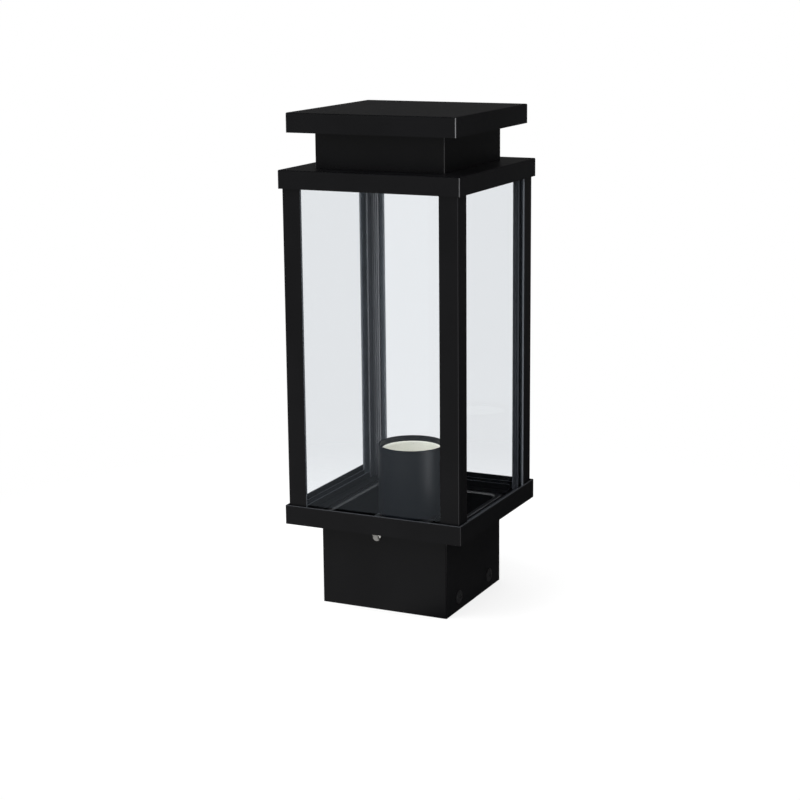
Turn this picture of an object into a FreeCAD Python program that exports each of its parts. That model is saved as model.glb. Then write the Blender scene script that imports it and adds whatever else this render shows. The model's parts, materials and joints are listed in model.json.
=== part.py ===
"""Square post top lantern: a collar that slides over a post, a shallow tray with a lamp holder,
and a glazed cage with a stepped roof that lifts off the tray. Millimetres, +Z up, origin at the
middle of the collar's foot. The front is -Y."""
import FreeCAD, Part

import math
import os

Vec = FreeCAD.Vector

# ---- driving dimensions ------------------------------------------------------------------------
# heights of the parts that show, from the foot up
collar_height = 57.3        # post collar below the tray
tray_rim = 12.7             # outer edge of the tray
glass_reveal = 210.2        # clear height between tray and roof
roof_edge = 12.0            # outer edge of the roof plate
neck_height = 23.4          # neck between roof plate and cap
cap_edge = 12.7             # outer edge of the cap

# widths across the flats
cage_width = 123.0          # over the corner posts
cage_gap = 0.8              # between the cage and the tray's rim or the roof's edge
collar_inset = 16.0         # collar's face behind the cage's face
neck_width = 91.0
cap_width = 118.4

# sheet and walls
sheet = 1.2                 # cap, roof plate, neck and cage rings
tray_wall = 1.2
collar_wall = 2.0
edge_round = 1.0            # outer upright edges
fold_round = 0.8            # folded top edges
lip_round = 0.5             # sheet edges that catch the light

# tray and collar seat
floor_rise = 1.7            # tray floor above the tray's lower edge
floor_sheet = 1.5
opening_round = 6.0         # corners of the opening in the collar's lip
bore_round = 0.8            # upright inner corners of the collar
collar_lip = 4.0            # lip that hangs the collar in the tray
collar_lip_sheet = 1.2
mouth_share = 0.9           # turned mouth, as a share of the lip's sheet
collar_fit = 0.3            # gap between collar and tray opening

# corner posts and glazing
post_leg = 13.0
post_wall = 1.2
glass_sheet = 3.0
glass_play = 0.1            # each side of the pane in its slot
glass_head_room = 1.5       # space above the pane
lip_wall = 1.0
lip_reach = 11.0            # inner lip, from the post's outer face
lip_groove = 0.3            # depth of the decorative grooves on the lip
lip_grooves = 3
port_radius = 1.25          # screw port in the corner of the post
port_hole_play = 0.1        # ring's hole round a corner screw
head_play = 0.05            # countersink round a corner screw's head
rail_gap = 0.2              # between a rail's upstand and the post beside it
rail_width = 12.0           # flat of the cage rings
rail_lip = 4.3              # inner upstand of the cage rings
rail_top_drop = 8.3         # outer upstand, measured from the ring's flat
rail_below_rim = 3.0        # outer upstand of the lower ring, below the tray's rim
port_screw_length = 9.0
port_screw_play = 0.05
port_head_rest = 0.1        # ring's sheet left under a corner screw's head

# lamp holder
bracket_width = 40.0
bracket_sheet = 1.5
bracket_gap = 0.5           # each end, to the collar
bracket_corner = 3.0
bracket_drop = 4.7          # top of the bracket below the tray floor
ear_width = 44.0
holder_radius = 22.8
holder_height = 48.2
holder_wall = 1.2
ceramic_play = 0.6
ceramic_below_rim = 3.5
ceramic_base = 5.5
skirt_wall = 1.8
skirt_depth = 17.0
rim_share = 0.3             # broken edges of cup and skirt, as a share of the wall
thread_radius = 13.3        # E27 shell, inside
shell_sheet = 0.6
shell_play = 0.1
shell_rise = 3.0            # shell above the ceramic base
shell_flange = 2.1
holder_screw_pitch = 19.0
lead_pitch = 18.0
tongue_width = 5.0
tongue_length = 15.5
tongue_sheet = 0.5
tongue_lift = 0.9
knuckle_radius = 1.2
knuckle_gap = 0.1           # under the curled root
bump_reach = 3.5            # leaf past the lamp's axis
bump_foot = 2.2
bump_top = 1.2

# terminal block and leads
block_poles = 3
pole_pitch = 9.0
block_length = 16.0
block_end = 0.5             # plastic past the outer poles
block_corner = 1.0
block_height = 14.0
barrel_share = 0.45         # bores below the bracket, as a share of the block's height
block_gap = 0.25            # between the block and the holder's nut
ear_gap = 0.5               # between the block and the collar's ear
tower_radius = 3.4
tower_height = 4.0
entry_radius = 1.9
screw_port = 2.0            # bore of a tower
grub_sink = 0.8             # grub screw below the tower's mouth
grub_gap = 0.4              # grub screw's tip to the barrel
grub_slot = 0.9
block_head_radius = 2.2
block_head_height = 1.6
earth_inset = 4.0           # earth screw's head from the bracket's edge
earth_tail = 2.5            # earth screw past the bracket
cup_washer_rim = 0.9        # cup washer past the earth screw's head
cup_washer_sheet = 0.8
lead_radius = 1.2
lead_bend = 7.2
lead_into_block = 4.0
lead_into_holder = 2.5

# fasteners
clamp_screw_radius = 2.5
clamp_head_radius = 4.5
clamp_head_height = 1.3
clamp_screw_height = 9.2    # above the foot
clamp_screw_pitch = 51.0
clamp_screw_tip = 3.8       # reach inside the collar wall
thread_play = 0.05
thread_short = 0.2          # block screw's tip below the bracket's top
stud_radius = 2.0
hole_play = 0.3             # plain hole round a stud or screw
stud_length = 8.0
stud_inset = 7.1            # from the cage's outer face
nut_flats = 7.0
nut_thickness = 3.2
dome_nut_height = 8.0
dome_hex_height = 3.6
dome_bore_depth = 6.0
dome_inset = 0.25           # dome inside the nut's flats
washer_radius = 4.5
washer_sheet = 0.8
tie_radius = 3.0
tie_nut_flats = 10.0
tie_nut_thickness = 5.0
tie_washer_radius = 9.0
tie_washer_sheet = 1.6
tie_tail = 2.0              # stud below its nut
roof_stud_length = 5.5
roof_nut_gap = 0.3          # between a roof nut and the ring's upstand
tab_width = 16.0            # tabs that centre the neck on the roof plate
tab_height = 6.0
m3_radius = 1.5
m3_head_radius = 2.8
m3_head_height = 2.0
m3_nut_flats = 5.5
m3_nut_thickness = 2.4
m3_tail = 0.8               # screw past its nut
m4_head_radius = 4.0
m4_head_height = 2.6
m4_tail = 1.5               # screw past the collar's ear
drive_slot = 1.0            # width of cross and plain slots
drive_share = 0.6           # slot depth as a share of the head's height
slot_share = 0.62           # slot length as a share of the head's width
dome_share = 0.45           # rounded part of a pan head

# ---- places worked out from them ---------------------------------------------------------------
tray_foot = collar_height
tray_top = tray_foot + tray_rim
roof_foot = tray_top + glass_reveal
roof_top = roof_foot + roof_edge
neck_top = roof_top + neck_height
cap_top = neck_top + cap_edge

floor_under = tray_foot + floor_rise
floor_top = floor_under + floor_sheet
lower_ring_top = floor_top + sheet
upper_ring_top = roof_top - sheet
upper_ring_under = upper_ring_top - sheet

cage_half = cage_width / 2
tray_width = cage_width + 2 * (cage_gap + tray_wall)
roof_width = cage_width + 2 * (cage_gap + sheet)
collar_half = cage_half - collar_inset
collar_inside = collar_half - collar_wall
slot_out = post_wall                              # glazing slot, from the cage's outer face
slot_in = slot_out + glass_sheet + 2 * glass_play
lip_in = slot_in + lip_wall
pane_half = cage_half - lip_in - glass_play
rail_half = cage_half - post_leg - rail_gap
port_centre = cage_half - (post_wall + lip_in) / 2
port_screw_radius = port_radius - port_screw_play
port_head_radius = port_screw_radius + sheet - port_head_rest

stud_place = cage_half - stud_inset
stud_hole = stud_radius + hole_play
m3_hole = m3_radius + hole_play
tie_hole = tie_radius + hole_play
roof_stud_place = cage_half - lip_in - roof_nut_gap - nut_flats / 2
block_near = -(holder_screw_pitch / 2 + m3_nut_flats / 2 + block_gap)
block_far = block_near - block_length
block_middle = (block_near + block_far) / 2
ear_edge = ear_gap - block_far
bracket_screw_y = (collar_inside + ear_edge) / 2
bracket_top = floor_top - bracket_drop
bracket_under = bracket_top - bracket_sheet
holder_top = bracket_top + holder_height
holder_floor = bracket_top + holder_wall
ceramic_radius = holder_radius - holder_wall - ceramic_play
ceramic_top = holder_top - ceramic_below_rim
ceramic_floor = holder_floor + ceramic_base
skirt_radius = ceramic_radius - skirt_wall
shoulder = ceramic_top - skirt_depth
shell_outside = thread_radius + shell_sheet
shell_foot = ceramic_floor + shell_rise
block_under = bracket_under - block_height
barrel_height = bracket_under - block_height * barrel_share


over = 1.0                  # how far a cut runs past what it cuts
same_place = 0.001          # edges and points nearer than this lie in the same place


# ---- small builders ----------------------------------------------------------------------------
def box(x0, x1, y0, y1, z0, z1):
    return Part.makeBox(x1 - x0, y1 - y0, z1 - z0, Vec(x0, y0, z0))


def rod(radius, z0, z1, x=0.0, y=0.0):
    return Part.makeCylinder(radius, z1 - z0, Vec(x, y, z0))


def outline(points):
    wire = Part.makePolygon([Vec(*p) for p in points] + [Vec(*points[0])])
    return Part.Face(wire)


def square(half, z0, z1, corner=0.0):
    """Upright square prism about the Z axis, with rounded upright edges."""
    solid = box(-half, half, -half, half, z0, z1)
    if corner <= 0:
        return solid
    return solid.makeFillet(corner, upright_edges(solid))


def edges_at(solid, z):
    return [e for e in solid.Edges
            if abs(e.BoundBox.ZMin - z) < same_place and abs(e.BoundBox.ZMax - z) < same_place]


def upright_edges(solid):
    return [e for e in solid.Edges
            if abs(e.Vertexes[0].Z - e.Vertexes[-1].Z) > solid.BoundBox.ZLength / 2]


def quarter(shape, turns):
    """The shape turned about the Z axis by quarter turns."""
    turned = shape.copy()
    turned.rotate(Vec(0, 0, 0), Vec(0, 0, 1), 90 * turns)
    return turned


def ring_of_four(shape):
    return [quarter(shape, k) for k in range(4)]


def hexagon(flats, z0, z1, x=0.0, y=0.0):
    reach = flats / 2 / math.cos(math.pi / 6)
    corners = [
        (x + reach * math.cos(math.radians(60 * k)), y + reach * math.sin(math.radians(60 * k)), z0)
        for k in range(6)
    ]
    return outline(corners).extrude(Vec(0, 0, z1 - z0))


def nut(flats, thickness, top, bore, x=0.0, y=0.0):
    """Hexagon nut with rounded-off corners, its top face at the given height."""
    blank = hexagon(flats, top - thickness, top, x, y)
    reach = flats / 2 / math.cos(math.pi / 6)
    chamfer = reach - flats / 2
    turned = Part.makeCone(reach - chamfer, reach, chamfer, Vec(x, y, top - thickness))
    turned = turned.fuse(rod(reach, top - thickness + chamfer, top, x, y))
    return blank.common(turned).cut(rod(bore, top - thickness - over, top + over, x, y))


def revolve(points):
    """Solid of revolution about Z from (radius, height) points."""
    face = outline([(r, 0, z) for r, z in points])
    return face.revolve(Vec(0, 0, 0), Vec(0, 0, 1), 360)


def pan_screw(radius, length, head_radius, head_height, slots):
    """Screw along -Z whose head sits on Z = 0, with a plain or cross slot."""
    dome = head_height * dome_share
    head = Part.makeCylinder(head_radius, head_height)
    head = head.makeChamfer(dome, edges_at(head, head_height))
    screw = head.fuse(Part.makeCylinder(radius, length, Vec(0, 0, -length)))
    for k in range(slots):
        blade = box(-head_radius * slot_share, head_radius * slot_share, -drive_slot / 2, drive_slot / 2,
                    head_height * (1 - drive_share), head_height + over)
        blade.rotate(Vec(0, 0, 0), Vec(0, 0, 1), 90 * k)
        screw = screw.cut(blade)
    return screw.removeSplitter()


def flat_screw(radius, length, head_radius):
    """Countersunk screw along -Z with a plain slot, its head flush with Z = 0."""
    head = Part.makeCone(radius, head_radius, head_radius - radius, Vec(0, 0, radius - head_radius))
    screw = head.fuse(Part.makeCylinder(radius, length, Vec(0, 0, -length)))
    depth = (head_radius - radius) * drive_share
    return screw.cut(box(-head_radius, head_radius, -drive_slot / 4, drive_slot / 4, -depth, over))


def placed(shape, x, y, z, flip=False):
    moved = shape.copy()
    if flip:
        moved.rotate(Vec(0, 0, 0), Vec(1, 0, 0), 180)
    moved.translate(Vec(x, y, z))
    return moved


def folded_tray(width, top, edge, corner=edge_round):
    """Sheet plate with a skirt folded down all round: the cap and the roof plate."""
    half = width / 2
    shell = square(half, top - edge, top, corner)
    shell = shell.makeFillet(fold_round, edges_at(shell, top))
    return shell.cut(square(half - sheet, top - edge - over, top - sheet, corner / 2))


# ---- roof: cap, neck and roof plate --------------------------------------------------------------
def make_cap():
    """Folded cap with the welded stud that ties cap, neck and roof plate together."""
    stud_foot = upper_ring_top - tie_washer_sheet - tie_nut_thickness - tie_tail
    return folded_tray(cap_width, cap_top, cap_edge).fuse(rod(tie_radius, stud_foot, cap_top - sheet))


def make_neck():
    """Square tube from the roof plate up to the cap's sheet."""
    tube = square(neck_width / 2, roof_top, cap_top - sheet, edge_round)
    return tube.cut(square(neck_width / 2 - sheet, roof_top - over, cap_top, edge_round / 2))


def make_roof_plate():
    """Folded roof plate with four welded studs for the cage and four tabs that centre the neck."""
    plate = folded_tray(roof_width, roof_top, roof_edge)
    plate = plate.cut(rod(tie_hole, upper_ring_top - over, roof_top + over))
    inside = neck_width / 2 - sheet - collar_fit
    stud_foot = upper_ring_top - roof_stud_length
    half = tab_width / 2
    for k in range(4):
        stud = rod(stud_radius, stud_foot, upper_ring_top, 0, -roof_stud_place)
        tab = box(-half, half, -inside, -inside + sheet, roof_top - sheet / 2, roof_top + tab_height)
        plate = plate.fuse(quarter(stud, k)).fuse(quarter(tab, k))
    return plate.removeSplitter()


def make_tie_nut():
    top = upper_ring_top - tie_washer_sheet
    return nut(tie_nut_flats, tie_nut_thickness, top, tie_radius + thread_play)


def make_tie_washer():
    foot = upper_ring_top - tie_washer_sheet
    return rod(tie_washer_radius, foot, upper_ring_top).cut(rod(tie_hole, foot - over, upper_ring_top + over))


def make_roof_nuts():
    return ring_of_four(nut(nut_flats, nut_thickness, upper_ring_under, stud_radius + thread_play,
                            0, -roof_stud_place))


# ---- cage: rings, posts and panes ----------------------------------------------------------------
def ring_flat(z0, z1):
    """Flat of a cage ring, with holes for the corner screws."""
    flat = square(cage_half, z0, z1, edge_round).cut(square(cage_half - rail_width, z0 - 1, z1 + 1))
    for k in range(4):
        hole = rod(port_radius + port_hole_play, z0 - over, z1 + over, -port_centre, -port_centre)
        flat = flat.cut(quarter(hole, k))
    return flat


def upstand(near, far, z0, z1):
    """Wall along the front of a ring, between the posts, and its three copies."""
    return ring_of_four(box(-rail_half, rail_half, -cage_half + near, -cage_half + far, z0, z1))


def countersink(z_face, into):
    """Cone that seats a corner screw's head flush with a ring's outer flat."""
    depth = port_head_radius - port_screw_radius
    base = z_face if into > 0 else z_face - depth
    wide, narrow = port_head_radius + head_play, port_screw_radius + head_play
    r0, r1 = (wide, narrow) if into > 0 else (narrow, wide)
    cone = Part.makeCone(r0, r1, depth, Vec(-port_centre, -port_centre, base))
    return ring_of_four(cone)


def make_lower_ring():
    """Channel ring under the panes, with the two studs that hold the cage down."""
    ring = ring_flat(floor_top, lower_ring_top)
    walls = upstand(0, slot_out, lower_ring_top - sheet / 2, tray_top - rail_below_rim)
    walls += upstand(slot_in, lip_in, lower_ring_top - sheet / 2, lower_ring_top + rail_lip)
    ring = ring.fuse(walls)
    ring = ring.cut(countersink(floor_top, 1))
    studs = [rod(stud_radius, floor_top - stud_length, lower_ring_top - sheet / 2, 0, side * stud_place)
             for side in (-1, 1)]
    return ring.fuse(studs).removeSplitter()


def make_upper_ring():
    """Channel ring over the panes, hidden by the roof plate's skirt."""
    ring = ring_flat(upper_ring_under, upper_ring_top)
    walls = upstand(0, slot_out, upper_ring_top - rail_top_drop - sheet, upper_ring_top - sheet / 2)
    walls += upstand(slot_in, lip_in, upper_ring_under - rail_lip, upper_ring_top - sheet / 2)
    ring = ring.fuse(walls).cut(countersink(upper_ring_top, -1))
    for k in range(4):
        hole = rod(stud_hole, upper_ring_under - over, upper_ring_top + over, 0, -roof_stud_place)
        ring = ring.cut(quarter(hole, k))
    return ring.removeSplitter()


def post_section():
    """Outline of the front left post: an angle, a bored corner and two grooved glazing lips.
    It is drawn as one half, from the outer corner along the front, and mirrored on the diagonal."""
    depth = lip_groove
    half = [(0, 0), (post_leg, 0), (post_leg, slot_out), (lip_in, slot_out), (lip_in, slot_in),
            (lip_reach, slot_in), (lip_reach, lip_in)]
    pitch = (lip_reach - lip_in) / (lip_grooves + 1)
    for k in range(lip_grooves):
        middle = lip_reach - (k + 1) * pitch
        half += [(middle + depth, lip_in), (middle, lip_in - depth), (middle - depth, lip_in)]
    half.append((lip_in, lip_in))
    other = [(v, u) for u, v in reversed(half[1:-1])]
    return [(-cage_half + u, -cage_half + v, 0) for u, v in half + other]


def make_post(turns):
    post = outline(post_section()).extrude(Vec(0, 0, upper_ring_under - lower_ring_top))
    post.translate(Vec(0, 0, lower_ring_top))
    nose = [e for e in upright_edges(post)
            if math.hypot(e.Vertexes[0].X + cage_half, e.Vertexes[0].Y + cage_half) < same_place]
    post = post.makeFillet(edge_round, nose)
    port = rod(port_radius, lower_ring_top - over, upper_ring_under + over, -port_centre, -port_centre)
    return quarter(post.cut(port), turns)


def make_pane(turns):
    front = -cage_half + slot_out + glass_play
    pane = box(-pane_half, pane_half, front, front + glass_sheet,
               lower_ring_top, upper_ring_under - glass_head_room)
    return quarter(pane, turns)


def make_port_screws(face, flip):
    screw = flat_screw(port_screw_radius, port_screw_length, port_head_radius)
    return ring_of_four(placed(screw, -port_centre, -port_centre, face, flip))


# ---- tray and post collar ------------------------------------------------------------------------
def make_tray():
    """Square tray: rim, floor between its edges, opening for the collar and two stud holes."""
    half = tray_width / 2
    rim = square(half, tray_foot, tray_top, edge_round)
    rim = rim.makeChamfer(lip_round / 2, edges_at(rim, tray_top))
    inside = half - tray_wall
    rim = rim.cut(square(inside, floor_top, tray_top + over, edge_round / 2))
    rim = rim.cut(square(inside, tray_foot - over, floor_under, edge_round / 2))
    rim = rim.cut(square(collar_half + collar_fit, floor_under - over, floor_top + over, edge_round))
    for side in (-1, 1):
        rim = rim.cut(rod(stud_hole, floor_under - over, floor_top + over, 0, side * stud_place))
    return rim


def make_collar():
    """Collar over the post: lip on the tray floor, two ears for the bracket, four tapped holes."""
    lip_top = floor_top + collar_lip_sheet
    collar = square(collar_half, 0, floor_top, edge_round)
    lip = square(collar_half + collar_lip - collar_wall, floor_top, lip_top, opening_round)
    lip = lip.makeChamfer(lip_round, edges_at(lip, lip_top))
    collar = collar.fuse(lip).cut(square(collar_inside, -over, floor_under, bore_round))
    collar = collar.cut(square(collar_inside, floor_under - over, lip_top + over, opening_round))
    mouth = [e for e in edges_at(collar, lip_top)
             if max(abs(e.CenterOfMass.x), abs(e.CenterOfMass.y)) < collar_inside + same_place]
    collar = collar.makeChamfer(collar_lip_sheet * mouth_share, mouth)
    for side in (-1, 1):
        far, near = side * (collar_inside + collar_wall / 2), side * ear_edge
        ear = box(-ear_width / 2, ear_width / 2, min(far, near), max(far, near),
                  bracket_under - bracket_sheet, bracket_under)
        hole = rod(stud_radius + thread_play, bracket_under - 2 * bracket_sheet, bracket_under + over,
                   0, bracket_screw_y * side)
        collar = collar.fuse(ear).cut(hole)
    for side in (-1, 1):
        for end in (-1, 1):
            hole = Part.makeCylinder(clamp_screw_radius, 3 * collar_wall,
                                     Vec(side * (collar_inside - collar_wall), end * clamp_screw_pitch / 2,
                                         clamp_screw_height), Vec(side, 0, 0))
            collar = collar.cut(hole)
    return collar.removeSplitter()


def make_clamp_screw(side, end):
    """Pan screw from the collar's side: side is +1 on the right, end is -1 at the front."""
    screw = pan_screw(clamp_screw_radius - thread_play, collar_wall + clamp_screw_tip,
                      clamp_head_radius, clamp_head_height, 2)
    screw.rotate(Vec(0, 0, 0), Vec(0, 1, 0), 90 * side)
    screw.translate(Vec(side * collar_half, end * clamp_screw_pitch / 2, clamp_screw_height))
    return screw


def make_cage_nut(side):
    """Dome nut under the tray on one of the cage's studs."""
    top = floor_under - washer_sheet
    dome_radius = nut_flats / 2 - dome_inset
    hexed = nut(nut_flats, dome_hex_height, top, stud_radius)
    shank = rod(dome_radius, top - dome_nut_height + dome_radius, top)
    ball = Part.makeSphere(dome_radius, Vec(0, 0, top - dome_nut_height + dome_radius))
    dome = hexed.fuse([shank, ball]).cut(rod(stud_radius + thread_play, top - dome_bore_depth, top + over))
    return placed(dome.removeSplitter(), 0, side * stud_place, 0)


def make_washers():
    foot = floor_under - washer_sheet
    washer = rod(washer_radius, foot, floor_under).cut(rod(stud_hole, foot - over, floor_under + over))
    return [placed(washer, 0, side * stud_place, 0) for side in (-1, 1)]


# ---- lamp holder ---------------------------------------------------------------------------------
def make_bracket():
    """Flat bracket across the collar, seated on its ears."""
    reach = collar_inside - bracket_gap
    strap = box(-bracket_width / 2, bracket_width / 2, -reach, reach, bracket_under, bracket_top)
    strap = strap.makeFillet(bracket_corner, upright_edges(strap))
    for side in (-1, 1):
        strap = strap.cut(rod(stud_hole, bracket_under - over, bracket_top + over, 0, side * bracket_screw_y))
        strap = strap.cut(rod(m3_hole, bracket_under - over, bracket_top + over,
                              0, side * holder_screw_pitch / 2))
        strap = strap.cut(rod(entry_radius, bracket_under - over, bracket_top + over, side * lead_pitch / 2))
    for x, y in ((block_fix_x, block_middle), (earth_x, earth_y)):
        strap = strap.cut(rod(m3_radius + thread_play, bracket_under - over, bracket_top + over, x, y))
    return strap


def make_bracket_screws():
    screw = pan_screw(stud_radius, 2 * bracket_sheet + m4_tail, m4_head_radius, m4_head_height, 2)
    return [placed(screw, 0, side * bracket_screw_y, bracket_top) for side in (-1, 1)]


def base_holes(shape, z0, z1):
    """Screw and lead holes through the foot of the lamp holder."""
    for side in (-1, 1):
        shape = shape.cut(rod(m3_hole, z0, z1, 0, side * holder_screw_pitch / 2))
        shape = shape.cut(rod(entry_radius, z0, z1, side * lead_pitch / 2))
    return shape


def make_holder_cup():
    """Spun cup round the lamp holder."""
    inside = holder_radius - holder_wall
    cup = rod(holder_radius, bracket_top, holder_top)
    cup = cup.makeChamfer(fold_round, edges_at(cup, bracket_top))
    cup = cup.cut(rod(inside, holder_floor, holder_top + over))
    cup = cup.makeChamfer(holder_wall * rim_share, edges_at(cup, holder_top))
    return base_holes(cup, bracket_top - over, holder_floor + over)


def make_ceramic():
    """Ceramic lamp holder: thick foot, bore for the threaded shell and a wide skirt."""
    bore = shell_outside + shell_play
    body = revolve([(0, holder_floor), (ceramic_radius, holder_floor), (ceramic_radius, ceramic_top),
                    (skirt_radius, ceramic_top), (skirt_radius, shoulder), (bore, shoulder),
                    (bore, ceramic_floor), (0, ceramic_floor)])
    body = body.makeChamfer(skirt_wall * rim_share, edges_at(body, ceramic_top))
    return base_holes(body, holder_floor - over, ceramic_floor + over)


def make_shell():
    """Threaded shell for the lamp cap, hung by its flange from the ceramic's shoulder."""
    flange = shell_outside + shell_flange
    top = shoulder + shell_sheet
    return revolve([(thread_radius, shell_foot), (shell_outside, shell_foot), (shell_outside, shoulder),
                    (flange, shoulder), (flange, top), (thread_radius, top)])


def make_tongue():
    """Sprung centre contact: a curled root, a leaf and a pressed bump under the lamp's pip."""
    root = -tongue_length + bump_reach
    axis = ceramic_floor + knuckle_radius + knuckle_gap
    leaf_foot = axis - tongue_sheet / 2
    side = Vec(root, -tongue_width / 2, axis)
    knuckle = Part.makeCylinder(knuckle_radius, tongue_width, side, Vec(0, 1, 0))
    leaf = box(root, bump_reach, -tongue_width / 2, tongue_width / 2, leaf_foot, leaf_foot + tongue_sheet)
    bump = Part.makeCone(bump_foot, bump_top, tongue_lift, Vec(0, 0, leaf_foot + tongue_sheet))
    return knuckle.fuse([leaf, bump]).removeSplitter()


def make_holder_screws():
    length = ceramic_base + holder_wall + bracket_sheet + m3_nut_thickness + m3_tail
    screw = pan_screw(m3_radius, length, m3_head_radius, m3_head_height, 1)
    return [placed(screw, 0, side * holder_screw_pitch / 2, ceramic_floor) for side in (-1, 1)]


def make_holder_nuts():
    return [nut(m3_nut_flats, m3_nut_thickness, bracket_under, m3_radius + thread_play,
                0, side * holder_screw_pitch / 2) for side in (-1, 1)]


# ---- terminal block, leads and earth ---------------------------------------------------------------
block_fix_x = pole_pitch / 2
block_half = pole_pitch * block_poles / 2 + block_end
earth_x = bracket_width / 2 - m3_head_radius - earth_inset
earth_y = holder_radius + m3_head_radius + cup_washer_rim


def pole_places():
    return [(k - (block_poles - 1) / 2) * pole_pitch for k in range(block_poles)]


def terminal_places():
    quarter_length = block_length / 4
    return [(x, block_middle + side * quarter_length) for x in pole_places() for side in (-1, 1)]


def make_terminal_block():
    """Strip block hung under the bracket: a bored barrel and two screw towers for each pole."""
    body = box(-block_half, block_half, block_far, block_near, block_under + tower_height, bracket_under)
    body = body.makeFillet(block_corner, upright_edges(body))
    for x, y in terminal_places():
        body = body.fuse(rod(tower_radius, block_under, block_under + tower_height + over, x, y))
    for x, y in terminal_places():
        body = body.cut(rod(screw_port, block_under - over, barrel_height, x, y))
    for x in pole_places():
        end = Vec(x, block_far - over, barrel_height)
        body = body.cut(Part.makeCylinder(entry_radius, block_length + 2 * over, end, Vec(0, 1, 0)))
    body = body.cut(rod(m3_hole, block_under, bracket_under + over, block_fix_x, block_middle))
    return body


def make_terminal_screws():
    """Grub screws down in the towers, each with a plain slot facing the foot."""
    foot, tip = block_under + grub_sink, barrel_height - entry_radius - grub_gap
    half = drive_slot / 3
    screws = []
    for x, y in terminal_places():
        screw = rod(screw_port - thread_play, foot, tip, x, y)
        slot = box(x - screw_port, x + screw_port, y - half, y + half, foot - over, foot + grub_slot)
        screws.append(screw.cut(slot))
    return screws


def make_block_screw():
    length = block_height - tower_height + bracket_sheet - thread_short
    screw = pan_screw(m3_radius, length, block_head_radius, block_head_height, 1)
    return placed(screw, block_fix_x, block_middle, block_under + tower_height, flip=True)


def make_lead(x, pole):
    """Insulated lead from the lamp holder's foot down, round one bend and into the block."""
    start = ceramic_floor - lead_into_holder
    bend_top = barrel_height + lead_bend
    end = block_near - lead_into_block
    points = [Vec(x, 0, start), Vec(x, 0, bend_top), Vec(pole, -lead_bend, barrel_height),
              Vec(pole, end, barrel_height)]
    knee = lead_bend * (1 - math.sqrt(0.5))
    arc = Part.Arc(points[1], Vec(x, -knee, barrel_height + knee), points[2])
    path = Part.Wire([Part.LineSegment(points[0], points[1]).toShape(), arc.toShape(),
                      Part.LineSegment(points[2], points[3]).toShape()])
    section = Part.Wire([Part.Circle(points[0], Vec(0, 0, 1), lead_radius).toShape()])
    return path.makePipeShell([section], True, False)


def make_earth_terminal():
    """Earth screw with its cup washer on the bracket."""
    top = bracket_top + cup_washer_sheet
    length = cup_washer_sheet + bracket_sheet + earth_tail
    screw = pan_screw(m3_radius, length, m3_head_radius, m3_head_height, 2)
    cup = rod(m3_head_radius + cup_washer_rim, bracket_top, top, earth_x, earth_y)
    cup = cup.cut(rod(m3_radius + thread_play, bracket_top - over, top + over, earth_x, earth_y))
    return [placed(screw, earth_x, earth_y, top), cup]


# ---- the assembly ----------------------------------------------------------------------------------
def parts():
    """Every node's name and its shape or shapes."""
    corners = ("front_left", "front_right", "rear_right", "rear_left")
    sides = ("front", "right", "rear", "left")
    made = {
        "cap": make_cap(),
        "neck": make_neck(),
        "roof_plate": make_roof_plate(),
        "tie_nut": make_tie_nut(),
        "tie_washer": make_tie_washer(),
        "roof_nuts": make_roof_nuts(),
        "upper_ring": make_upper_ring(),
        "lower_ring": make_lower_ring(),
        "post_screws_top": make_port_screws(upper_ring_top, False),
        "post_screws_bottom": make_port_screws(floor_top, True),
        "tray": make_tray(),
        "post_collar": make_collar(),
        "stud_washers": make_washers(),
        "lamp_bracket": make_bracket(),
        "bracket_screws": make_bracket_screws(),
        "holder_cup": make_holder_cup(),
        "ceramic_holder": make_ceramic(),
        "threaded_shell": make_shell(),
        "contact_tongue": make_tongue(),
        "holder_screws": make_holder_screws(),
        "holder_nuts": make_holder_nuts(),
        "terminal_block": make_terminal_block(),
        "terminal_screws": make_terminal_screws(),
        "block_screw": make_block_screw(),
        "lead_live": make_lead(-lead_pitch / 2, pole_places()[0]),
        "lead_neutral": make_lead(lead_pitch / 2, pole_places()[-1]),
        "earth_terminal": make_earth_terminal(),
        "cage_nut_front": make_cage_nut(-1),
        "cage_nut_rear": make_cage_nut(1),
    }
    for k in range(4):
        made["post_" + corners[k]] = make_post(k)
        made["glass_" + sides[k]] = make_pane(k)
    for side, across in ((1, "right"), (-1, "left")):
        for end, along in ((-1, "front"), (1, "rear")):
            made["clamp_screw_%s_%s" % (across, along)] = make_clamp_screw(side, end)
    return made


def solids_of(shape):
    shapes = shape if isinstance(shape, list) else [shape]
    return [solid for one in shapes for solid in one.Solids]


def main():
    os.makedirs("parts", exist_ok=True)
    for name, shape in sorted(parts().items()):
        solids = solids_of(shape)
        bad = [s for s in solids if not s.isValid() or s.Volume <= 0]
        whole = solids[0] if len(solids) == 1 else Part.makeCompound(solids)
        whole.exportStep("parts/%s.step" % name)
        print("%-24s %2d solid(s) %10.1f mm3 %s" % (name, len(solids), whole.Volume, "BAD" if bad else ""))


main()
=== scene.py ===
import json
import math
import bpy
from mathutils import Matrix, Vector


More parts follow.
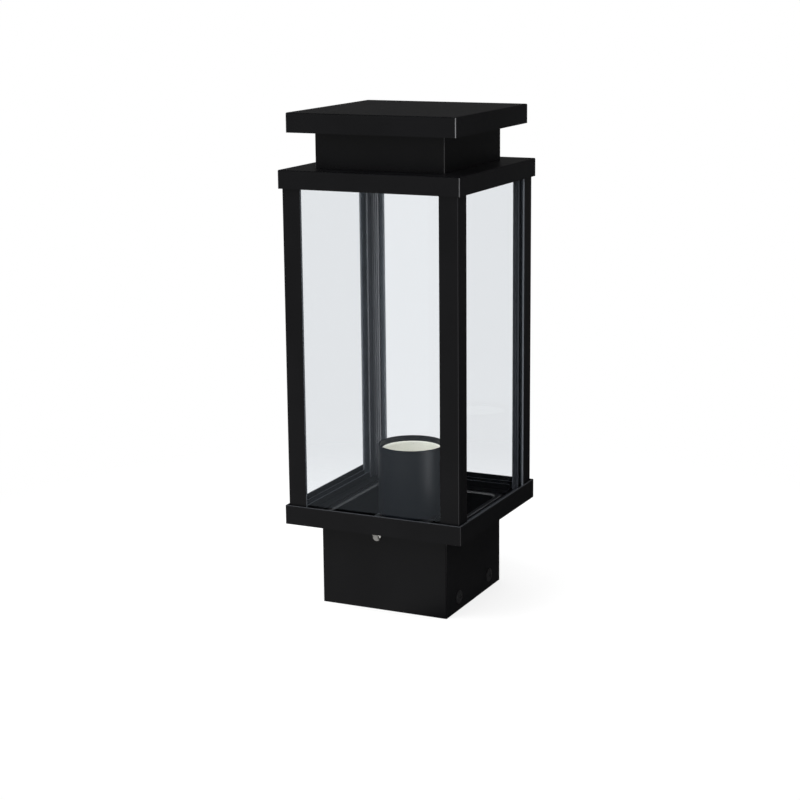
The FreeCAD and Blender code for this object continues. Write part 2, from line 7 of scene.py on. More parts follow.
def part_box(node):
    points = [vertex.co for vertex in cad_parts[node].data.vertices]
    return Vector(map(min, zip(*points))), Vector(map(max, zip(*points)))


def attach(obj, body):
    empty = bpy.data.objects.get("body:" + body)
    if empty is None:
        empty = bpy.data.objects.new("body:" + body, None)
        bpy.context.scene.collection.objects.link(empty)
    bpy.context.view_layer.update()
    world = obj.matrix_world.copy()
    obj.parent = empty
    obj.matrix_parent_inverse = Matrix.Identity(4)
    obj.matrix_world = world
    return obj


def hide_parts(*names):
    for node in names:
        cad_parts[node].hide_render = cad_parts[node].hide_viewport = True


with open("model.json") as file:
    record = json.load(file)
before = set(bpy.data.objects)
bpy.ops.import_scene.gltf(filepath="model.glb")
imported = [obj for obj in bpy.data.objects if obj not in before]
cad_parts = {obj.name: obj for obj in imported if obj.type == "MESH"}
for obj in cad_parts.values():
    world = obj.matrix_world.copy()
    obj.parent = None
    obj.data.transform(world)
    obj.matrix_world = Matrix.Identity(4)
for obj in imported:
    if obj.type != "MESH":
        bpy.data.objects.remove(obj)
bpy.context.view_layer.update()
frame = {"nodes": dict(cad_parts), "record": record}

mm = 0.001
print("frame loaded,", len(frame["nodes"]), "nodes")


# a socket that can be reckoned with: each sum adds its Math node to the socket's graph
class Flow:
    def __init__(self, graph, socket):
        self.graph = graph
        self.socket = socket

    def sum(self, operation, *values):
        return self.graph.node("ShaderNodeMath", {"operation": operation}, dict(enumerate(values)))

    def __add__(self, other):
        return self.sum("ADD", self, other)

    def __radd__(self, other):
        return self.sum("ADD", other, self)

    def __sub__(self, other):
        return self.sum("SUBTRACT", self, other)

    def __rsub__(self, other):
        return self.sum("SUBTRACT", other, self)

    def __mul__(self, other):
        return self.sum("MULTIPLY", self, other)

    def __rmul__(self, other):
        return self.sum("MULTIPLY", other, self)

    def __truediv__(self, other):
        return self.sum("DIVIDE", self, other)

    def __rtruediv__(self, other):
        return self.sum("DIVIDE", other, self)

    def sine(self):
        return self.sum("SINE", self)

    def cosine(self):
        return self.sum("COSINE", self)

    def magnitude(self):
        return self.sum("ABSOLUTE", self)

    def fraction(self):
        return self.sum("FRACT", self)

    def above(self, edge):
        return self.sum("GREATER_THAN", self, edge)

    def below(self, edge):
        return self.sum("LESS_THAN", self, edge)

    def larger(self, other):
        return self.sum("MAXIMUM", self, other)

    def smaller(self, other):
        return self.sum("MINIMUM", self, other)

    def ramp(self, low, high, first=0.0, last=1.0):     # smooth step from first to last
        return self.graph.node("ShaderNodeMapRange", {"interpolation_type": "SMOOTHSTEP"},
                               {0: self, 1: low, 2: high, 3: first, 4: last})

    def run(self, low, high, last=1.0):                 # straight from 0 to last
        return self.graph.node("ShaderNodeMapRange", {}, {0: self, 1: low, 2: high, 3: 0.0, 4: last})


class Graph:     # a shader tree or a geometry tree
    def __init__(self, tree):
        self.tree = tree

    def node(self, kind, settings=None, sockets=None, output=0):
        made = self.tree.nodes.new(kind)
        for key, value in (settings or {}).items():
            setattr(made, key, value)
        for key, value in (sockets or {}).items():
            self.feed(made.inputs[key], value)
        return Flow(self, made.outputs[output]) if len(made.outputs) else None

    def feed(self, socket, value):
        if isinstance(value, list):     # a socket that takes several links
            for each in value:
                self.feed(socket, each)
        elif isinstance(value, Flow):
            self.tree.links.new(value.socket, socket)
        elif isinstance(value, tuple) and socket.type == "RGBA":
            socket.default_value = (*value, 1)
        elif value is not None:
            socket.default_value = value

    def vector(self, x=0.0, y=0.0, z=0.0):
        return self.node("ShaderNodeCombineXYZ", {}, {0: x, 1: y, 2: z})

    def parts(self, vector):     # the X, Y and Z of a vector
        split = self.node("ShaderNodeSeparateXYZ", {}, {0: vector}).socket.node
        return [Flow(self, socket) for socket in split.outputs]

    def vectors(self, operation, *values, output="Vector"):
        return self.node("ShaderNodeVectorMath", {"operation": operation}, dict(enumerate(values)), output)

    def blend(self, share, first, second):     # sockets 6 and 7 and output 2 are the Mix node's colours
        return self.node("ShaderNodeMix", {"data_type": "RGBA"}, {0: share, 6: first, 7: second}, 2)


class Paint(Graph):     # one material
    def __init__(self, name):
        self.material = bpy.data.materials.new(name)
        self.material.use_nodes = True
        super().__init__(self.material.node_tree)
        self.tree.nodes.clear()

    def place(self):
        return self.node("ShaderNodeTexCoord", output="Object")

    def noise(self, scale, detail, stretch=(1, 1, 1)):
        mapped = self.node("ShaderNodeMapping", {}, {"Vector": self.place(), "Scale": stretch})
        return self.node("ShaderNodeTexNoise", {}, {"Vector": mapped, "Scale": scale, "Detail": detail})

    def bump(self, height, distance, strength=1.0, under=None):
        return self.node("ShaderNodeBump", {}, {"Strength": strength, "Distance": distance, "Height": height,
                                                "Normal": under})

    def glow(self, light):     # a number gives white light of that strength
        return self.node("ShaderNodeEmission", {}, {"Color": light, "Strength": 1.0})

    def either(self, share, first, second):     # first surface where the share is 0, second where it is 1
        return self.node("ShaderNodeMixShader", {}, {0: share, 1: first, 2: second})

    def cover(self, surface):
        self.node("ShaderNodeOutputMaterial", {}, {"Surface": surface})

    def shade(self, sockets):
        self.cover(self.node("ShaderNodeBsdfPrincipled", {}, sockets))


# a shape is in mm until its copies are placed
weldGap = 0.0005             # points closer than this become one
creaseAngle = math.radians(38)


class Shape(Graph):     # one geometry tree, whose named inputs are the piece's sizes
    def __init__(self, name, sizes):
        super().__init__(bpy.data.node_groups.new(name, "GeometryNodeTree"))
        kinds = {bool: "Bool", int: "Int", float: "Float", tuple: "Vector"}
        face = self.tree.interface
        face.new_socket("Geometry", in_out="INPUT", socket_type="NodeSocketGeometry")
        face.new_socket("Geometry", in_out="OUTPUT", socket_type="NodeSocketGeometry")
        self.keys = {}
        for key, value in sizes.items():
            kind = "NodeSocket" + kinds[type(value)]
            self.keys[key] = face.new_socket(key, in_out="INPUT", socket_type=kind).identifier
        self.given = self.node("NodeGroupInput").socket.node

    def size(self, key):
        return Flow(self, self.given.outputs[key])

    def turned(self, rows, columns, profile):     # profile gives radius and height along each row
        grid = self.node("GeometryNodeMeshGrid", {}, {"Size X": 1.0, "Size Y": 1.0, "Vertices X": rows,
                                                      "Vertices Y": columns})
        along, around, _ = self.parts(self.node("GeometryNodeInputPosition"))
        turn = (around + 0.5) * math.tau
        radius, height = profile(along + 0.5, turn)
        place = self.vector(radius * turn.cosine(), radius * turn.sine(), height)
        bent = self.node("GeometryNodeSetPosition", {}, {"Geometry": grid, "Position": place})
        return self.node("GeometryNodeMergeByDistance", {}, {"Geometry": bent, "Distance": weldGap})

    def close(self, copy, turn, material):     # one copy on each point that the tree is given
        points = self.node("GeometryNodeInstanceOnPoints", {}, {
            "Points": self.size("Geometry"), "Instance": copy, "Rotation": turn, "Scale": (mm, mm, mm)})
        whole = self.node("GeometryNodeRealizeInstances", {}, {0: points})
        dressed = self.node("GeometryNodeSetMaterial", {}, {"Geometry": whole, "Material": material})
        self.node("NodeGroupOutput", {}, {0: dressed})


def shapePiece(name, shape, sizes, places):     # the tree's result as plain mesh, a copy at each place
    mesh = bpy.data.meshes.new(name)
    mesh.from_pydata(places, [], [])
    piece = bpy.data.objects.new(name, mesh)
    bpy.context.scene.collection.objects.link(piece)
    modifier = piece.modifiers.new("shape", "NODES")
    modifier.node_group = shape.tree
    for key, value in sizes.items():
        modifier[shape.keys[key]] = value
    made = bpy.data.meshes.new_from_object(piece.evaluated_get(bpy.context.evaluated_depsgraph_get()))
    piece.modifiers.clear()
    piece.data = made
    made.shade_smooth()
    made.set_sharp_from_angle(angle=creaseAngle)
    return piece


# powder coat, with painted highlights and paler painted light where a finish asks for it
coatLook = {
    "deep": (0.0016, 0.0016, 0.0021),     # darkest patches
    "pale": (0.0024, 0.0024, 0.0030),
    "patches": (23, 3.0),                 # noise: waves per metre, detail
    "patchFade": (0.35, 0.65),
    "cloud": (140, 2.0),
    "gloss": 0.36,
    "glossSpread": 0.08,
    "shine": 0.3,
    "peel": (620, 1.0),                   # orange peel
    "peelDepth": 0.005 * mm,
    "grain": (2600, 1.0),
    "grainDepth": 0.003 * mm,
    "inner": None,                        # painted light: paler colour of faces that look at the lantern's middle, standing for the light inside the lantern
    "slot": None,                         # painted light: paler colour of the walls behind the panes' edges, standing for light seen through the glass
    "slotFrom": 0.0,                      # and how far out they start
    "edge": None,                         # colour of the painted highlight along upright corners
    "edgeTurn": (0.34, 0.47),             # X times Y of the surface's direction, where the line fades in
    "edgeWear": (0.1, 0.5, 0.7, 1.0),     # the cloud's range, and the share of painted highlight at its ends
    "rim": None,                          # colour of the painted highlight on sheet edges that look up
    "rimFrom": 0.0,                       # the height from which the highlight is painted
    "rimTilt": 0.3,                       # how far up they look at least
    "rimFlat": 2.0,                       # below 1, flat tops are left out
    "rimHighlightNoise": (0.1, 0.5, 0.6, 1.0),
}


def powderCoat(name, look):
    paint = Paint(name)
    patches = paint.noise(*look["patches"])
    cloud = paint.noise(*look["cloud"])
    colour = paint.blend(patches.ramp(*look["patchFade"]), look["deep"], look["pale"])
    x, y, z = paint.parts(paint.place())
    turnX, turnY, turnZ = paint.parts(paint.node("ShaderNodeTexCoord", output="Normal"))
    outward = (x * turnX + y * turnY).above(0.0)
    # painted light: faces that look at the lantern's middle are paler, as if lit from inside the lantern
    if look["inner"]:
        colour = paint.blend(outward, look["inner"], colour)
    # painted light: the walls behind the panes' edges are paler, standing for light seen through the glass
    if look["slot"]:
        behind = x.magnitude().larger(y.magnitude()).above(look["slotFrom"])
        colour = paint.blend(behind * (1 - outward), colour, look["slot"])
    # painted highlight: paler paint along the upright outer corners, broken up by the cloud
    if look["edge"]:
        corner = (turnX * turnY).magnitude().ramp(*look["edgeTurn"])
        colour = paint.blend(corner * outward * cloud.ramp(*look["edgeWear"]), colour, look["edge"])
    # painted highlight: paler paint on sheet edges that look up, broken up by the cloud
    if look["rim"]:
        tilted = turnZ.above(look["rimTilt"]) * turnZ.below(look["rimFlat"])
        rimHighlight = tilted * z.above(look["rimFrom"]) * cloud.ramp(*look["rimHighlightNoise"])
        colour = paint.blend(rimHighlight, colour, look["rim"])
    peel = paint.bump(paint.noise(*look["peel"]), look["peelDepth"])
    paint.shade({
        "Base Color": colour,
        "Roughness": look["gloss"] + (cloud - 0.5) * look["glossSpread"],
        "Specular IOR Level": look["shine"],
        "Normal": paint.bump(paint.noise(*look["grain"]), look["grainDepth"], under=peel),
    })
    return paint.material


glassLook = {
    "tint": (0.966, 0.973, 0.980),        # what one face lets through, with the body's own colour
    "index": 1.5,
    "faces": 1.35,                        # the front face mirrors for both
    "most": 0.10,                         # and never more than this
    "mirror": (0.80, 0.90, 1.0),
    "smear": 0.004,
}


def clearGlass(look):
    paint = Paint("clearGlass")
    clear = paint.node("ShaderNodeBsdfTransparent", {}, {"Color": look["tint"]})
    mirror = paint.node("ShaderNodeBsdfGlossy", {}, {"Color": look["mirror"], "Roughness": look["smear"]})
    front = 1 - paint.node("ShaderNodeNewGeometry", output="Backfacing")
    share = paint.node("ShaderNodeFresnel", {}, {"IOR": look["index"]}) * look["faces"] * front
    paint.cover(paint.either(share.smaller(look["most"]), clear, mirror))
    return paint.material


ceramicLook = {
    "body": (0.95, 0.94, 0.85),
    "shade": (0.91, 0.91, 0.81),
    "mottle": (120, 3.0),
    "mottleFade": (0.3, 0.7),
    "fleck": (0.55, 0.52, 0.42),
    "flecks": (1500, 0.0),
    "fleckFade": (0.74, 0.80),
    "fleckShare": 0.5,
    "gloss": 0.34,
    "glossSpread": 0.12,
    "grain": (900, 2.0),
    "grainDepth": 0.01 * mm,
    "marks": (420, 1.0, (1, 1, 0.03)),    # upright tool marks
    "marksDepth": 0.05 * mm,
    "marksShare": 0.6,
}


def creamCeramic(look):
    paint = Paint("creamCeramic")
    mottle = paint.noise(*look["mottle"])
    flecks = paint.noise(*look["flecks"]).ramp(*look["fleckFade"])
    colour = paint.blend(mottle.ramp(*look["mottleFade"]), look["shade"], look["body"])
    grain = paint.bump(paint.noise(*look["grain"]), look["grainDepth"])
    paint.shade({
        "Base Color": paint.blend(flecks * look["fleckShare"], colour, look["fleck"]),
        "Roughness": look["gloss"] + mottle * look["glossSpread"],
        "Normal": paint.bump(paint.noise(*look["marks"]), look["marksDepth"], look["marksShare"], grain),
    })
    return paint.material


metalLook = {
    "cloud": (260, 3.0),
    "cloudFade": (0.3, 0.75),
    "glossSpread": 0.12,
    "grain": (1800, 2.0),
    "grainDepth": 0.004 * mm,
}


def platedMetal(name, colour, dull, gloss, look=metalLook):
    paint = Paint(name)
    cloud = paint.noise(*look["cloud"])
    paint.shade({
        "Base Color": paint.blend(cloud.ramp(*look["cloudFade"]), colour, dull),
        "Metallic": 1.0,
        "Roughness": gloss + cloud * look["glossSpread"],
        "Normal": paint.bump(paint.noise(*look["grain"]), look["grainDepth"]),
    })
    return paint.material


plasticLook = {
    "flow": (180, 2.0),
    "glossSpread": 0.1,
    "grain": (1400, 1.0),
    "grainDepth": 0.008 * mm,
}


def mouldedPlastic(name, colour, shade, gloss, look=plasticLook):
    paint = Paint(name)
    flow = paint.noise(*look["flow"])
    paint.shade({
        "Base Color": paint.blend(flow, colour, shade),
        "Roughness": gloss + flow * look["glossSpread"],
        "Normal": paint.bump(paint.noise(*look["grain"]), look["grainDepth"]),
    })
    return paint.material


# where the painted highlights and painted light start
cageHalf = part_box("post_rear_right")[1].x
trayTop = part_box("tray")[1].z
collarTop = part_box("post_collar")[1].z
slotDepth = 1.7 * mm                      # just over the posts' outer wall, behind which their slot starts
trayRim = 1.0 * mm                        # the top of the tray's sides
ringRise = 2.0 * mm                       # clear of the ring's foot, so that the highlight is painted on its upstand alone
mouthDepth = 1.15 * mm                    # just over the turned part of the collar's lip

blackScrewLook = dict(coatLook, deep=(0.006, 0.006, 0.0065), pale=(0.009, 0.009, 0.0095), gloss=0.28,
                      peelDepth=0.004 * mm, shine=0.5)
cupLook = dict(coatLook, deep=(0.0066, 0.0080, 0.0110), pale=(0.0074, 0.0090, 0.0122), gloss=0.42,
               peelDepth=0.0004 * mm, grainDepth=0.0)      # the lamp holder is smoother and greyer
# posts: painted light on faces that look inward and on the walls behind the panes' edges, and a faint
# painted highlight on their corners
postLook = dict(coatLook, edge=(0.014, 0.014, 0.015), inner=(0.038, 0.041, 0.048),
                slot=(0.1, 0.108, 0.12), slotFrom=cageHalf - slotDepth)
# tray, ring and collar: painted highlights on the edges that look up, and a faint one on the tray's corners
trayLook = dict(coatLook, edge=(0.012, 0.012, 0.013), rim=(0.030, 0.032, 0.036), rimFrom=trayTop - trayRim)
ringLook = dict(coatLook, rim=(0.034, 0.037, 0.043), rimFrom=collarTop + ringRise)
collarLook = dict(coatLook, rim=(0.07, 0.07, 0.072), rimFrom=collarTop - mouthDepth, rimFlat=0.97)

finishes = {
    # by node, and "post" for all four posts
    "holder_cup": powderCoat("cupCoat", cupLook),
    # the edge colours paint highlights on the upright corners, brightest on the cap, then the roof plate and
    # the neck
    "cap": powderCoat("capCoat", dict(coatLook, edge=(0.16, 0.16, 0.165))),
    "neck": powderCoat("neckCoat", dict(coatLook, edge=(0.035, 0.035, 0.036))),
    "roof_plate": powderCoat("roofCoat", dict(coatLook, edge=(0.09, 0.09, 0.093))),
    "tray": powderCoat("trayCoat", trayLook),
    "lower_ring": powderCoat("ringCoat", ringLook),
    "post_collar": powderCoat("collarCoat", collarLook),
    "post": powderCoat("postCoat", postLook),
    # by material slot
    "black_coat": powderCoat("powderCoat", coatLook),
    "black_screw": powderCoat("blackScrew", blackScrewLook),
    "clear_glass": clearGlass(glassLook),
    "cream_ceramic": creamCeramic(ceramicLook),
    "bright_nickel": platedMetal("brightNickel", (0.66, 0.65, 0.62), (0.52, 0.51, 0.48), 0.1),
    "zinc_steel": platedMetal("zincSteel", (0.62, 0.63, 0.65), (0.48, 0.49, 0.5), 0.3),
    "plated_brass": platedMetal("platedBrass", (0.74, 0.71, 0.64), (0.58, 0.55, 0.47), 0.2),
    "plain_brass": platedMetal("plainBrass", (0.80, 0.60, 0.27), (0.55, 0.38, 0.16), 0.26),
    "white_plastic": mouldedPlastic("whitePlastic", (0.80, 0.79, 0.74), (0.74, 0.73, 0.67), 0.42),
    "brown_insulation": mouldedPlastic("brownInsulation", (0.16, 0.07, 0.035), (0.12, 0.05, 0.025), 0.45),
    "blue_insulation": mouldedPlastic("blueInsulation", (0.03, 0.12, 0.40), (0.02, 0.09, 0.32), 0.45),
}
slotOf = {row["node"]: row["material_slot"] for row in frame["record"]["subparts"]}


def dressNodes():
    for node in frame["nodes"]:
        kind = "post" if node.startswith(("post_front", "post_rear")) else node
        materials = bpy.data.objects[node].data.materials
        materials.clear()
        materials.append(finishes.get(kind) or finishes[slotOf[node]])


dressNodes()
print("nodes dressed")


# lamp shell: sheet with a rolled thread for the lamp's cap, in mm until it is placed
shellLook = {
    "foot": 65.5,
    "height": 18.6,
    "inside": 12.95,         # middle of the rolled wave
    "wave": 0.42,
    "pitch": 3.62,
    "sheet": 0.4,
    "flange": 16.0,
    "calm": 1.3,             # plain run at each end of the thread
    "rows": 101,
    "columns": 73,
}
# shares of the rows at which the flange starts, ends, has its underside and meets the outer wall,
# and at which the foot's edge starts
shellTurns = (0.46, 0.50, 0.51, 0.54, 0.99)


def shellShape(look):
    shape = Shape("rolledShell", look)
    foot, height, inside, wave = (shape.size(key) for key in ("foot", "height", "inside", "wave"))
    pitch, sheet, flange, calm = (shape.size(key) for key in ("pitch", "sheet", "flange", "calm"))
    outside = inside + sheet

    def profile(along, turn):     # up the inner wall, round the flange and down the outer wall
        top, edge, under, back, low = shellTurns
        rise = (along.run(0.0, top, height) - along.run(edge, under, sheet)
                - along.run(back, low, height - sheet))
        plain = (inside + along.run(top, edge, flange - inside) - along.run(under, back, flange - outside)
                 - along.run(low, 1.0, sheet))
        threaded = rise.run(0.0, calm) * (1 - rise.run(height - calm * 2, height - calm))
        return plain + threaded * wave * (rise / pitch * math.tau - turn).cosine(), foot + rise

    wall = shape.turned(shape.size("rows"), shape.size("columns"), profile)
    shape.close(wall, None, finishes["plated_brass"])
    return shape


def makeShell(look):
    piece = shapePiece("rolledShell", shellShape(look), look, [(0, 0, 0)])
    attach(piece, "base")
    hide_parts("threaded_shell")
    return piece


# screws: domed head with a cross or plain recess over a cut thread, in mm until they are placed
screwLook = {
    "headHeight": 1.3,
    "shankRadius": 2.4,
    "pitch": 0.8,
    "cut": 0.35,             # depth of the thread
    "recess": 1.0,           # width of a wing
    "reach": 2.6,            # half a wing's length
    "cross": True,
}
bracketLook = {"shankRadius": 2.0, "pitch": 0.7, "cut": 0.3, "recess": 0.8, "reach": 2.0}
smallLook = {"shankRadius": 1.5, "pitch": 0.5, "cut": 0.22, "recess": 0.7, "reach": 4.0, "cross": False}
left, right, up, down = (-1.0, 0.0, 0.0), (1.0, 0.0, 0.0), (0.0, 0.0, 1.0), (0.0, 0.0, -1.0)
screwSets = {
    # piece: node, body, where its heads look, what differs from screwLook
    "clampScrewLeftFront": ("clamp_screw_left_front", "clamp_left_front", left, {}),
    "clampScrewLeftRear": ("clamp_screw_left_rear", "clamp_left_rear", left, {}),
    "clampScrewRightFront": ("clamp_screw_right_front", "clamp_right_front", right, {}),
    "clampScrewRightRear": ("clamp_screw_right_rear", "clamp_right_rear", right, {}),
    "bracketScrews": ("bracket_screws", "base", up, bracketLook),
    "holderScrews": ("holder_screws", "base", up, smallLook),
    "blockScrew": ("block_screw", "base", down, smallLook),
}
headRows, headColumns, shankColumns, rowsPerTurn = 21, 33, 25, 8
domeEnd, rimEnd = 0.7, 0.8                # shares of the head's rows
threadEnd, tipStart = 0.96, 0.97          # shares of the shank's rows
neckEnd = 0.01
rimShare = 0.3                            # the head's straight rim, of its height
overlap = 0.05                            # of the shank into the head
recessFloor = 0.35                        # of the head's height
recessTaper = 0.7                         # the recess is narrower at its floor
halfSide = 0.7                            # a square's half side, of its corner's distance


def screwShape(look, finish):
    shape = Shape("threadedScrew", look)
    radius, height, shank = (shape.size(key) for key in ("headRadius", "headHeight", "shankRadius"))

    def dome(along, turn):
        lean = along.run(0.0, domeEnd, math.pi / 2)
        rim = along.run(domeEnd, rimEnd)
        under = 1 - along.run(rimEnd, 1.0)
        return radius * lean.sine() * under, height * (rimShare * (1 - rim) + lean.cosine() * (1 - rimShare))

    def thread(along, turn):
        depth = along.run(0.0, threadEnd) * shape.size("length")
        ridge = ((depth / shape.size("pitch") + turn / math.tau).fraction() - 0.5).magnitude() * 2
        closed = along.run(0.0, neckEnd) * (1 - along.run(tipStart, 1.0))
        return (shank - ridge * shape.size("cut")) * closed, overlap - depth

    def wing(turn):     # a bar that narrows downwards
        bar = shape.node("GeometryNodeMeshCone", {"fill_type": "NGON"},
                         {"Vertices": 4, "Radius Top": 1.0, "Radius Bottom": recessTaper, "Depth": height})
        square = shape.node("GeometryNodeTransform", {}, {"Geometry": bar, "Rotation": (0, 0, math.pi / 4)})
        scale = shape.vector(shape.size("reach") * math.sqrt(2), shape.size("recess") * halfSide, 1.0)
        place = shape.vector(z=height * recessFloor)
        return shape.node("GeometryNodeTransform", {}, {"Geometry": square, "Translation": place,
                                                        "Rotation": (0, 0, turn), "Scale": scale})

    second = shape.node("GeometryNodeSwitch", {"input_type": "GEOMETRY"},
                        {"Switch": shape.size("cross"), "True": wing(math.pi / 2)})
    head = shape.turned(headRows, headColumns, dome)
    for tool in (wing(0), second):
        head = shape.node("GeometryNodeMeshBoolean", {"operation": "DIFFERENCE", "solver": "EXACT"},
                          {"Mesh 1": head, "Mesh 2": tool})
    body = shape.turned(shape.size("rows"), shankColumns, thread)
    both = shape.node("GeometryNodeJoinGeometry", {}, {0: [head, body]})
    aimed = shape.node("FunctionNodeAlignRotationToVector", {"axis": "Z"}, {"Vector": shape.size("aim")})
    shape.close(both, aimed, finishes[finish])
    return shape


def makeScrews(name, node, body, aim, changes):     # one piece in place of one CAD node
    low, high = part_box(node)
    axis = 0 if aim[0] else 2
    side = 1 if aim[axis] > 0 else -1
    across = [k for k in range(3) if k != axis]
    radius = min(high[k] - low[k] for k in across) / 2
    size = {**screwLook, **changes, "aim": aim, "headRadius": radius / mm}
    size["length"] = (high[axis] - low[axis]) / mm - size["headHeight"]
    size["rows"] = int(size["length"] / size["pitch"] * rowsPerTurn) + 1
    seat = (high[axis] if side > 0 else low[axis]) - side * size["headHeight"] * mm
    spread = max(across, key=lambda k: high[k] - low[k])
    places = []
    for end in (low[spread] + radius, high[spread] - radius):     # both ends, or one screw alone
        place = (low + high) / 2
        place[axis], place[spread] = seat, end
        if not places or (place - places[0]).length > radius:
            places.append(place)
    piece = shapePiece(name, screwShape(size, slotOf[node]), size, places)
    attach(piece, body)
    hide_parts(node)
    return piece


shell = makeShell(shellLook)
screws = [makeScrews(name, *given) for name, given in screwSets.items()]
print("shell and screws made:", len(shell.data.polygons), [len(piece.data.polygons) for piece in screws])


# camera
shot = {
    "azimuth": 25.52,
    "elevation": 12.94,
    "roll": -0.57,
    "distance": 1.2916,
    "focalPixels": 1918.0,   # focal length, in pixels of a picture this wide
    "picture": 800,
    "sensor": 36.0,
    "target": (-8.54 * mm, 0, 133.1 * mm),
}


def placeCamera(look):
    turn, lift, roll = (math.radians(look[key]) for key in ("azimuth", "elevation", "roll"))
    back = Vector((math.sin(turn) * math.cos(lift), -math.cos(turn) * math.cos(lift), math.sin(lift)))
    level = Vector((math.cos(turn), math.sin(turn), 0))
    upright = back.cross(level)
    across = level * math.cos(roll) + upright * math.sin(roll)
    above = upright * math.cos(roll) - level * math.sin(roll)
    camera = bpy.data.objects.new("camera", bpy.data.cameras.new("camera"))
    camera.data.sensor_width = look["sensor"]
    camera.data.lens = look["sensor"] * look["focalPixels"] / look["picture"]
    basis = Matrix((across, above, back)).transposed().to_4x4()
    basis.translation = Vector(look["target"]) + back * look["distance"]
    camera.matrix_world = basis
    bpy.context.scene.collection.objects.link(camera)
    bpy.context.scene.camera = camera


studio = {
    "floorSize": 1.6,
    "floorColour": (0.3, 0.3, 0.3),
    "floorFill": 0.70,
    "collarHalf": 45.5 * mm,              # inside the collar the floor has no fill of its own
    "floorFade": (0.16, 0.42),            # metres from the middle, where the floor turns plain white
    "darkGlow": 0.012,
    "nearFade": (0.12, 0.24),             # metres, where the floor starts to show the narrow glows
    "farFade": (0.45, 0.78),              # and where it comes to show what is beyond its edge
    "dip": 0.2,                           # how far the mirrored view looks down
    "narrow": 0.8,                        # a glow that starts above this is narrow
    # what gloss and glass see of the studio: direction, cosine where it starts and where it is full,
    # brightness, and the share that the floor shows
    "glows": {
        "softSide": ((-0.42, -0.88, -0.22), 0.35, 0.9, 0.26, 1.35),
        "backCard": ((-0.43, 0.88, 0.2), 0.42, 0.9, 0.052, 0.0),
        "rightSide": ((0.42, 0.88, -0.22), 0.8, 0.97, 0.01, 0.0),
        "strip": ((0.95, -0.29, -0.15), 0.94, 0.99, 0.6, 2.3),
        "edgeLight": ((-0.68, 0.68, -0.25), 0.9, 0.98, 0.4, 1.0),
    },
}


def mirrored(graph, direction, look, far=None):     # far is given by the floor alone
    total = look["darkGlow"]
    for side, low, high, glow, onFloor in look["glows"].values():
        aim = tuple(Vector(side).normalized())
        shown = graph.vectors("DOT_PRODUCT", direction, aim, output="Value").ramp(low, high) * glow
        if far is not None:
            shown = shown * (onFloor + far.ramp(*look["farFade"]) * (1 - onFloor))
            shown = shown * far.ramp(*look["nearFade"]) if low > look["narrow"] else shown
        total = total + shown
    return total


def makeWorld(look):
    world = bpy.data.worlds.new("studio")
    world.use_nodes = True
    bpy.context.scene.world = world
    graph = Graph(world.node_tree)
    graph.tree.nodes.clear()
    glossy = graph.node("ShaderNodeLightPath", output="Is Glossy Ray")
    direction = graph.node("ShaderNodeTexCoord", output="Generated")
    light = 1 - glossy + glossy * mirrored(graph, direction, look)
    glow = graph.node("ShaderNodeBackground", {}, {"Color": light, "Strength": 1.0})
    graph.node("ShaderNodeOutputWorld", {}, {"Surface": glow})


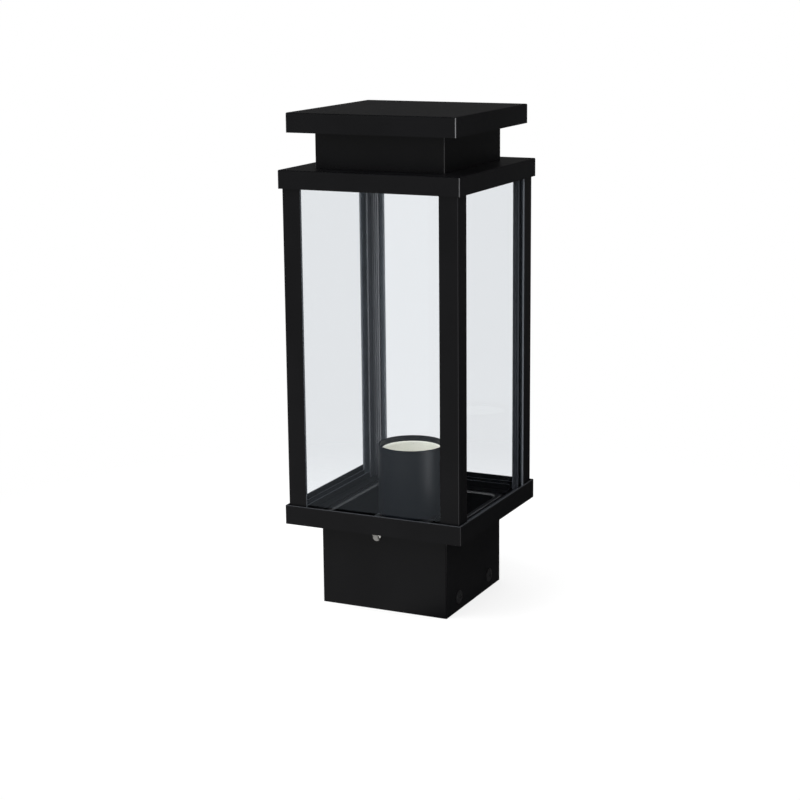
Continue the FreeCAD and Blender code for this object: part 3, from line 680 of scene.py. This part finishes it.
def paleFloor(look):
    paint = Paint("paleFloor")
    place = paint.place()
    x, y, _ = paint.parts(place)
    far = paint.vectors("LENGTH", place, output="Value")
    matt = paint.node("ShaderNodeBsdfDiffuse", {}, {"Color": look["floorColour"]})
    outside = x.magnitude().larger(y.magnitude()).above(look["collarHalf"])
    lit = paint.node("ShaderNodeAddShader", {}, {0: matt, 1: paint.glow(outside * look["floorFill"])})
    plain = paint.either(far.ramp(*look["floorFade"]), lit, paint.glow((1.0, 1.0, 1.0)))
    # gloss and glass see the studio in the floor, in the direction from the lantern to the floor's point
    seenAt = paint.vectors("ADD", place, paint.vector(z=far * -look["dip"]))
    card = paint.glow(mirrored(paint, paint.vectors("NORMALIZE", seenAt), look, far))
    upper = paint.either(paint.node("ShaderNodeLightPath", output="Is Glossy Ray"), plain, card)
    # from below the floor is clear to the camera, so that the underside shows
    below = paint.node("ShaderNodeNewGeometry", output="Backfacing")
    below = below * paint.node("ShaderNodeLightPath", output="Is Camera Ray")
    paint.cover(paint.either(below, upper, paint.node("ShaderNodeBsdfTransparent")))
    return paint.material


def makeFloor(look):
    half = look["floorSize"] / 2
    corners = [(-half, -half, 0), (half, -half, 0), (half, half, 0), (-half, half, 0)]
    mesh = bpy.data.meshes.new("floor")
    mesh.from_pydata(corners, [], [(0, 1, 2, 3)])
    mesh.materials.append(paleFloor(look))
    floor = bpy.data.objects.new("floor", mesh)
    bpy.context.scene.collection.objects.link(floor)


lampSet = {
    # name: place, aim, width, tall, power, whether matt surfaces catch it, whether gloss does,
    # and how the names of the nodes start that it is kept to
    "topSoft": ((-0.69, -0.58, 1.5), (0, 0, 0.17), 1.2, 1.2, 22, True, False, None),
    "frontSoft": ((0.706, -1.223, 0.851), (0, 0, 0.1), 0.8, 0.8, 9, True, False, None),
    "postCard": ((-0.035, 0.143, 0.16), (-0.057, 0.053, 0.16), 0.03, 0.28, 0.05, False, True, "post_"),
    "leftCard": ((-0.0575, 0.030, 0.17), (-0.053, 0.056, 0.17), 0.007, 0.20, 0.075, False, True, "post_"),
    "cupCard": ((0.30, -0.055, 0.09), (0, 0, 0.09), 0.03, 0.12, 0.26, False, True, "holder_cup"),
}


def makeLamps(lamps):
    for name, (place, aim, width, tall, power, matt, gloss, only) in lamps.items():
        light = bpy.data.lights.new(name, "AREA")
        light.shape = "RECTANGLE"
        light.size = width
        light.size_y = tall
        light.energy = power
        lamp = bpy.data.objects.new(name, light)
        lamp.location = place
        lamp.rotation_euler = (Vector(place) - Vector(aim)).to_track_quat("Z", "Y").to_euler()
        lamp.visible_camera = False
        lamp.visible_transmission = False
        lamp.visible_diffuse = matt
        lamp.visible_glossy = gloss
        if only:
            lit = bpy.data.collections.new(name)
            for node in frame["nodes"]:
                if node.startswith(only) and node != "post_collar":
                    lit.objects.link(bpy.data.objects[node])
            lamp.light_linking.receiver_collection = lit
        bpy.context.scene.collection.objects.link(lamp)


placeCamera(shot)
makeWorld(studio)
makeFloor(studio)
makeLamps(lampSet)
bpy.context.scene.view_settings.view_transform = "Standard"
print("camera and stage set")
